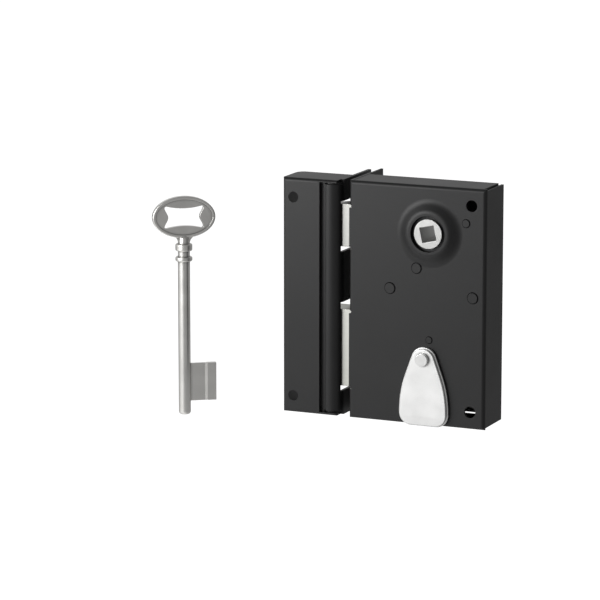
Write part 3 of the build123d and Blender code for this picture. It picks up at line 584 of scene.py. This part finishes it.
class LockPaintSettings(bpy.types.PropertyGroup):
    """The black powder coat on the case and the keeper."""

    colour: bpy.props.FloatVectorProperty(
        name="Paint", description="Colour of the powder coat", subtype="COLOR", size=3,
        default=(0.014, 0.014, 0.0144), min=0.0, max=1.0)
    roughness: bpy.props.FloatProperty(
        name="Dullness", description="Roughness of the powder coat", default=0.42, min=0.05, max=1.0)
    gloss: bpy.props.FloatProperty(
        name="Gloss", description="Strength of the coat's reflection", default=0.42, min=0.0, max=1.0)
    peel_size: bpy.props.FloatProperty(
        name="Peel size", description="Size of the orange peel", default=0.7 * MM, unit="LENGTH", precision=5)
    peel_depth: bpy.props.FloatProperty(
        name="Peel depth", description="Depth of the orange peel", default=0.012 * MM, unit="LENGTH",
        precision=6)
    edge_radius: bpy.props.FloatProperty(
        name="Edge radius", description="How softly cut edges catch the light", default=0.22 * MM,
        unit="LENGTH", precision=5)


class LockPlatingSettings(bpy.types.PropertyGroup):
    """The plated and bare metal pieces."""

    latch: bpy.props.FloatVectorProperty(
        name="Latch", description="Colour of the latch bolt", subtype="COLOR", size=3,
        default=(0.46, 0.46, 0.44), min=0.0, max=1.0)
    dead_bolt: bpy.props.FloatVectorProperty(
        name="Dead bolt", description="Colour of the dead bolt", subtype="COLOR", size=3,
        default=(0.60, 0.60, 0.56), min=0.0, max=1.0)
    key: bpy.props.FloatVectorProperty(
        name="Key", description="Colour of the key", subtype="COLOR", size=3,
        default=(0.88, 0.87, 0.84), min=0.0, max=1.0)
    cover: bpy.props.FloatVectorProperty(
        name="Cover", description="Colour of the key cover, and of its rivet before it is dimmed",
        subtype="COLOR", size=3, default=(0.93, 0.93, 0.92), min=0.0, max=1.0)
    zinc: bpy.props.FloatVectorProperty(
        name="Zinc", description="Colour of the follower", subtype="COLOR", size=3,
        default=(0.52, 0.52, 0.51), min=0.0, max=1.0)
    sheet: bpy.props.FloatVectorProperty(
        name="Plated sheet", description="Colour of the back plate and the washer", subtype="COLOR", size=3,
        default=(0.50, 0.51, 0.50), min=0.0, max=1.0)
    steel: bpy.props.FloatVectorProperty(
        name="Steel", description="Colour of bare steel", subtype="COLOR", size=3,
        default=(0.42, 0.42, 0.41), min=0.0, max=1.0)


class LockDetailSettings(bpy.types.PropertyGroup):
    """The rings of painted shadow round the staked ends, and the keeper's spot welds."""

    # The ring round each staked end is painted shadow: a near-black band where the real end casts only shade.
    seam: bpy.props.FloatProperty(
        name="Seam", description="Width of the dark seam round a staked end", default=0.46 * MM,
        unit="LENGTH", precision=5)
    shadow_ring_flatness: bpy.props.FloatProperty(
        name="Seam flatness", description="Rise of the seam's ring as a share of its width", default=0.15,
        min=0.01, max=1.0)
    weld_count: bpy.props.IntProperty(
        name="Welds", description="Spot welds along the keeper's lip", default=7, min=2, max=20)
    weld_radius: bpy.props.FloatProperty(
        name="Weld radius", description="Radius of a spot weld", default=1.3 * MM, unit="LENGTH", precision=4)
    weld_rise: bpy.props.FloatProperty(
        name="Weld rise", description="How far a spot weld stands up", default=0.12 * MM, unit="LENGTH",
        precision=5)


class LockStageSettings(bpy.types.PropertyGroup):
    """Floor, lamps and camera."""

    drop: bpy.props.FloatProperty(
        name="Floor drop", description="Gap between the lowest piece and the floor", default=200 * MM,
        unit="LENGTH")
    side: bpy.props.FloatProperty(
        name="Side lamp", description="Power of the near lamp at the left of the front", default=1.65,
        unit="POWER")
    back: bpy.props.FloatProperty(
        name="Back lamp", description="Power of the lamp behind the part, at the left", default=0.3,
        unit="POWER")
    sky_left: bpy.props.FloatProperty(
        name="Sky at the left", description="Strength of the soft light from the left", default=0.34)
    sky_right: bpy.props.FloatProperty(
        name="Sky at the right", description="Strength of the soft light from the right", default=0.15)
    overhead: bpy.props.FloatProperty(
        name="Overhead", description="Share of the soft light that is left overhead", default=0.3,
        min=0.0, max=1.0)
    mirrored: bpy.props.FloatProperty(
        name="Mirrored", description="White that the metal sees in floor and sky", default=0.13,
        min=0.0, max=1.0)
    box: bpy.props.FloatProperty(
        name="Soft box", description="Strength of the broad light at the left of the front", default=0.36)
    azimuth: bpy.props.FloatProperty(
        name="Azimuth", description="Camera's turn from straight ahead", default=math.radians(23.86),
        unit="ROTATION")
    elevation: bpy.props.FloatProperty(
        name="Elevation", description="Camera's angle above level", default=math.radians(11.18),
        unit="ROTATION")
    distance: bpy.props.FloatProperty(
        name="Distance", description="Camera's distance from its aim", default=1.677, unit="LENGTH")
    aim: bpy.props.FloatVectorProperty(
        name="Aim", description="Point the camera looks at", subtype="XYZ", size=3, unit="LENGTH",
        default=(-64.79 * MM, -22.2 * MM, -36.16 * MM))
    lens: bpy.props.FloatProperty(name="Lens", description="Focal length in millimetres", default=216.0)


def holder(name):
    """The scene's own values of one of the groups above."""
    return getattr(bpy.context.scene, name)


# Pieces

class LOCK_OT_paint_case(bpy.types.Operator):
    """Paint the folded case and the staked ends of its posts"""

    bl_idname = "lock.paint_case"
    bl_label = "Paint the case"

    def execute(self, context):
        paint, steel = holder("lock_paint"), tuple(holder("lock_plating").steel)
        dress(powder_paint("case_powder_coat", paint), "case_shell")
        dress(staked_post("staked_steel", paint, steel), *staked_pieces)
        return {"FINISHED"}


class LOCK_OT_paint_keeper(bpy.types.Operator):
    """Paint the keeper's box and its strike"""

    bl_idname = "lock.paint_keeper"
    bl_label = "Paint the keeper"

    def execute(self, context):
        dress(powder_paint("keeper_powder_coat", holder("lock_paint")), "keeper_box", "keeper_strike")
        return {"FINISHED"}


class LOCK_OT_plate_bolts(bpy.types.Operator):
    """Plate the latch bolt and the dead bolt"""

    bl_idname = "lock.plate_bolts"
    bl_label = "Plate the bolts"

    def execute(self, context):
        plating = holder("lock_plating")
        # The 3 mm shade reach paints shade on the bolts where they run into the keeper and the case.
        dress(brushed_metal("latch_satin_nickel", tuple(plating.latch), roughness=0.34,
                            fineness=(90.0, 2600.0, 2600.0), depth=0.004 * MM, edge_radius=0.3 * MM,
                            shade_reach=3 * MM), "latch_bolt")
        dress(brushed_metal("dead_bolt_satin_nickel", tuple(plating.dead_bolt), roughness=0.38,
                            fineness=(90.0, 2200.0, 2200.0), depth=0.005 * MM, edge_radius=0.3 * MM,
                            shade_reach=3 * MM), "dead_bolt")
        return {"FINISHED"}


class LOCK_OT_turn_follower(bpy.types.Operator):
    """Finish the follower and the bush that it turns in"""

    bl_idname = "lock.turn_follower"
    bl_label = "Finish the follower"

    def execute(self, context):
        dress(turned_zinc("follower_turned_zinc", tuple(holder("lock_plating").zinc), roughness=0.3,
                          centre=(0.0, 0.0, 0.0), pitch=0.16 * MM, depth=0.006 * MM), "follower")
        dress(moulded_nylon("bush_black_nylon", colour=(0.012, 0.012, 0.013), roughness=0.5), "follower_bush")
        return {"FINISHED"}


class LOCK_OT_plate_cover(bpy.types.Operator):
    """Plate the key cover, its rivet and its spring washer"""

    bl_idname = "lock.plate_cover"
    bl_label = "Plate the key cover"

    def execute(self, context):
        rivet_share = 0.88
        plating = holder("lock_plating")
        nickel = tuple(plating.cover)
        low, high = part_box("key_cover_rivet")
        centre = ((low.x + high.x) / 2, 0.0, (low.z + high.z) / 2)
        # The cover's shade reach paints shade in the step round its raised face and beside its rivet.
        dress(cast_nickel("cover_cast_nickel", nickel, roughness=0.36, depth=0.012 * MM,
                          edge_radius=0.35 * MM, shade_reach=1.1 * MM), "key_cover")
        dress(turned_zinc("rivet_turned_nickel", tuple(rivet_share * c for c in nickel), roughness=0.32,
                          centre=centre, pitch=0.2 * MM, depth=0.004 * MM), "key_cover_rivet")
        dress(brushed_metal("washer_zinc", tuple(plating.sheet), roughness=0.35,
                            fineness=(2200.0, 400.0, 900.0), depth=0.004 * MM, edge_radius=0.1 * MM),
              "key_cover_washer")
        return {"FINISHED"}


class LOCK_OT_plate_key(bpy.types.Operator):
    """Plate the key"""

    bl_idname = "lock.plate_key"
    bl_label = "Plate the key"

    def execute(self, context):
        # The key's shade reach paints shade in the hollows of its bow, neck and collars.
        dress(cast_nickel("key_cast_nickel", tuple(holder("lock_plating").key), roughness=0.32,
                          depth=0.006 * MM, edge_radius=0.3 * MM, shade_reach=1.6 * MM), "key")
        return {"FINISHED"}


class LOCK_OT_finish_inside(bpy.types.Operator):
    """Finish the back plate, its screws, the tumbler and the springs"""

    bl_idname = "lock.finish_inside"
    bl_label = "Finish the inside"

    def execute(self, context):
        plating = holder("lock_plating")
        steel = tuple(plating.steel)
        dress(brushed_metal("back_plate_zinc", tuple(plating.sheet), roughness=0.37,
                            fineness=(2400.0, 2400.0, 70.0), depth=0.004 * MM, edge_radius=0.15 * MM,
                            patch_size=14 * MM), "back_plate")
        dress(brushed_metal("screw_zinc", steel, roughness=0.3, fineness=(2600.0, 2600.0, 900.0),
                            depth=0.004 * MM, edge_radius=0.12 * MM, patch_size=3 * MM), "back_plate_screws")
        dress(brushed_metal("tumbler_plain_steel", steel, roughness=0.4, fineness=(80.0, 2400.0, 2400.0),
                            depth=0.006 * MM, edge_radius=0.15 * MM), "tumbler")
        dress(brushed_metal("spring_drawn_wire", steel, roughness=0.28, fineness=(1500.0, 1500.0, 1500.0),
                            depth=0.003 * MM, edge_radius=0.05 * MM, patch_size=2 * MM),
              "latch_spring", "follower_spring", "tumbler_spring")
        return {"FINISHED"}


class LOCK_OT_stake_rings(bpy.types.Operator):
    """Add a near-black ring of painted shadow round each staked end in the case's front"""

    bl_idname = "lock.stake_rings"
    bl_label = "Stake the posts"

    def execute(self, context):
        detail = holder("lock_detail")
        seam = detail.seam
        ends = []
        for name in staked_pieces:
            ends += front_ends(name)
        if len(ends) != staked_end_count:
            raise RuntimeError(f"expected {staked_end_count} staked ends and found {len(ends)}")
        mesh = bpy.data.meshes.new("staked_ends")
        mesh.from_pydata([(middle.x, front_plane, middle.z) for middle, _ in ends], [], [])
        reach = mesh.attributes.new("reach", "FLOAT", "POINT")
        for item, (_, radius) in zip(reach.data, ends):
            item.value = radius + seam / 2
        tree, sockets = staking_tree()
        widest = max(radius for _, radius in ends)
        # The rings are painted shadow, in a near-black finish.
        rings = grow("staked_rings", mesh, tree,
                     {"Seam": seam / 2 / widest, "Flatness": detail.shadow_ring_flatness,
                      "Finish": black_shadow_finish("staking_shadow_ring")}, sockets)
        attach(rings, "case")
        return {"FINISHED"}


class LOCK_OT_weld_keeper(bpy.types.Operator):
    """Add the row of spot welds that join the strike's lip to the keeper's box"""

    bl_idname = "lock.weld_keeper"
    bl_label = "Weld the keeper"

    def execute(self, context):
        lip_setback, lip_half_width, end_margin = 3.8 * MM, 2 * MM, 12 * MM
        detail = holder("lock_detail")
        low = keeper_low.z + end_margin
        pitch = (keeper_high.z - end_margin - low) / (detail.weld_count - 1)
        seed = bpy.data.meshes.new("weld_seed")
        seed.from_pydata([(0.0, 0.0, 0.0)], [], [])
        tree, sockets = weld_tree()
        finish = nodes["keeper_box"].data.materials[0]
        welds = grow("keeper_spot_welds", seed, tree,
                     {"Count": detail.weld_count, "Pitch": pitch, "Radius": detail.weld_radius,
                      "Rise": detail.weld_rise, "Finish": finish}, sockets)
        for corner in welds.data.vertices:
            corner.co += Vector((strike_low.x + lip_half_width, front_plane + lip_setback, low))
        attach(welds, "case")
        return {"FINISHED"}


class LOCK_OT_set_stage(bpy.types.Operator):
    """Lay the floor, hang the lamps and place the camera"""

    bl_idname = "lock.set_stage"
    bl_label = "Set the stage"

    def execute(self, context):
        side_place, side_size = Vector((-0.25, -0.42, 0.15)), 0.34
        back_place, back_size = Vector((-0.5, 0.8, 0.35)), 0.6
        stage = holder("lock_stage")
        lay_floor(stage)
        light_world(stage)
        middle = (cad_low + cad_high) / 2
        hang_lamp("side_lamp", middle + side_place, middle, side_size, stage.side)
        hang_lamp("back_lamp", middle + back_place, middle, back_size, stage.back)
        place_camera(stage)
        context.scene.view_settings.view_transform = "Standard"
        return {"FINISHED"}


# Stage

def seen_rays(tree):
    """Masks of the rays that come straight or through glass from the camera, and of mirrored rays."""
    path = add(tree, "ShaderNodeLightPath").outputs
    return reckon(tree, "MAXIMUM", path["Is Camera Ray"], path["Is Transmission Ray"]), path["Is Glossy Ray"]


def lay_floor(stage):
    """A wide pale floor that shows white to the camera and in metal, and keeps the shadow."""
    reach, level_only, camera_white = 6.0, (1.0, 1.0, 0.0), 0.95
    floor_tone, floor_dullness = (0.82, 0.82, 0.82, 1.0), 0.9
    height = cad_low.z - stage.drop
    mesh = bpy.data.meshes.new("floor")
    mesh.from_pydata([(-reach, -reach, height), (reach, -reach, height), (reach, reach, height),
                      (-reach, reach, height)], [], [(0, 1, 2, 3)])
    floor = bpy.data.objects.new("floor", mesh)
    bpy.context.scene.collection.objects.link(floor)
    material, tree, shader = blank("pale_floor")
    shader.inputs["Base Color"].default_value = floor_tone
    shader.inputs["Roughness"].default_value = floor_dullness
    shader.inputs["Emission Color"].default_value = (1.0, 1.0, 1.0, 1.0)
    seen, mirrored = seen_rays(tree)
    flat = vectors(tree, "MULTIPLY", object_place(tree), level_only)
    wide = group(tree, "soft_box", {"Direction": flat})
    shine = plus(tree, stage.mirrored, times(tree, wide["Share"], stage.box))
    lift = plus(tree, times(tree, seen, camera_white), times(tree, mirrored, shine))
    tree.links.new(lift, shader.inputs["Emission Strength"])
    mesh.materials.append(material)


def light_world(stage):
    """Soft light, stronger at the left, dim overhead, and white where the camera sees it."""
    dimming_starts, dimming_ends = 0.25, 0.8
    world = bpy.data.worlds.new("studio")
    bpy.context.scene.world = world
    world.use_nodes = True
    tree = world.node_tree
    tree.nodes.clear()
    seen, mirrored = seen_rays(tree)
    way = add(tree, "ShaderNodeTexCoord").outputs["Generated"]
    parts = add(tree, "ShaderNodeSeparateXYZ", {0: way}).outputs
    sideways = remap(tree, parts["X"], -1.0, 1.0, stage.sky_left, stage.sky_right)
    share = remap(tree, parts["Z"], dimming_starts, dimming_ends, 1.0, stage.overhead)
    wide = group(tree, "soft_box", {"Direction": way})
    near = plus(tree, times(tree, sideways, share), times(tree, wide["Share"], stage.box))
    soft = plus(tree, near, times(tree, mirrored, stage.mirrored))
    strength = remap(tree, seen, 0.0, 1.0, soft, 1.0)
    glow = add(tree, "ShaderNodeBackground", {"Color": (1.0, 1.0, 1.0, 1.0), "Strength": strength})
    output = tree.nodes.new("ShaderNodeOutputWorld")
    tree.links.new(glow.outputs[0], output.inputs["Surface"])


def hang_lamp(name, place, aim, size, power):
    """A square soft lamp that faces a point."""
    lamp = bpy.data.lights.new(name, "AREA")
    lamp.shape = "SQUARE"
    lamp.size = size
    lamp.energy = power
    hung = bpy.data.objects.new(name, lamp)
    hung.location = place
    hung.rotation_euler = (aim - place).to_track_quat("-Z", "Y").to_euler()
    hung.visible_camera = False
    bpy.context.scene.collection.objects.link(hung)


def place_camera(stage):
    """The camera, aimed from its azimuth and elevation."""
    across, up = stage.azimuth, stage.elevation
    back = Vector((math.sin(across) * math.cos(up), -math.cos(across) * math.cos(up), math.sin(up)))
    lens = bpy.data.cameras.new("camera")
    lens.lens = stage.lens
    lens.sensor_width = 36.0
    lens.clip_start = 0.05
    lens.clip_end = 50.0
    camera = bpy.data.objects.new("camera", lens)
    camera.location = Vector(stage.aim) + back * stage.distance
    camera.rotation_euler = (-back).to_track_quat("-Z", "Y").to_euler()
    bpy.context.scene.collection.objects.link(camera)
    bpy.context.scene.camera = camera


class LOCK_PT_panel(bpy.types.Panel):
    """Lists the steps in the order in which they are run, and the values that they use"""

    bl_label = "Rim box lock"
    bl_idname = "LOCK_PT_panel"
    bl_space_type = "VIEW_3D"
    bl_region_type = "UI"
    bl_category = "Lock"

    def draw(self, context):
        for step in steps:
            self.layout.operator(step.bl_idname)
        for name, _ in holders:
            box = self.layout.box()
            held = getattr(context.scene, name)
            for key in held.__annotations__:
                box.prop(held, key)


steps = [LOCK_OT_paint_case, LOCK_OT_paint_keeper, LOCK_OT_plate_bolts, LOCK_OT_turn_follower,
         LOCK_OT_plate_cover, LOCK_OT_plate_key, LOCK_OT_finish_inside, LOCK_OT_stake_rings,
         LOCK_OT_weld_keeper, LOCK_OT_set_stage]
holders = [("lock_paint", LockPaintSettings), ("lock_plating", LockPlatingSettings),
           ("lock_detail", LockDetailSettings), ("lock_stage", LockStageSettings)]


def register():
    for name, kind in holders:
        bpy.utils.register_class(kind)
        setattr(bpy.types.Scene, name, bpy.props.PointerProperty(type=kind))
    for kind in steps + [LOCK_PT_panel]:
        bpy.utils.register_class(kind)


def unregister():
    for kind in [LOCK_PT_panel] + steps[::-1]:
        bpy.utils.unregister_class(kind)
    for name, kind in holders[::-1]:
        delattr(bpy.types.Scene, name)
        bpy.utils.unregister_class(kind)


def main():
    register()
    bpy.ops.lock.paint_case()
    bpy.ops.lock.paint_keeper()
    bpy.ops.lock.plate_bolts()
    bpy.ops.lock.turn_follower()
    bpy.ops.lock.plate_cover()
    bpy.ops.lock.plate_key()
    bpy.ops.lock.finish_inside()
    bpy.ops.lock.stake_rings()
    bpy.ops.lock.weld_keeper()
    bpy.ops.lock.set_stage()


if __name__ == "__main__":
    main()
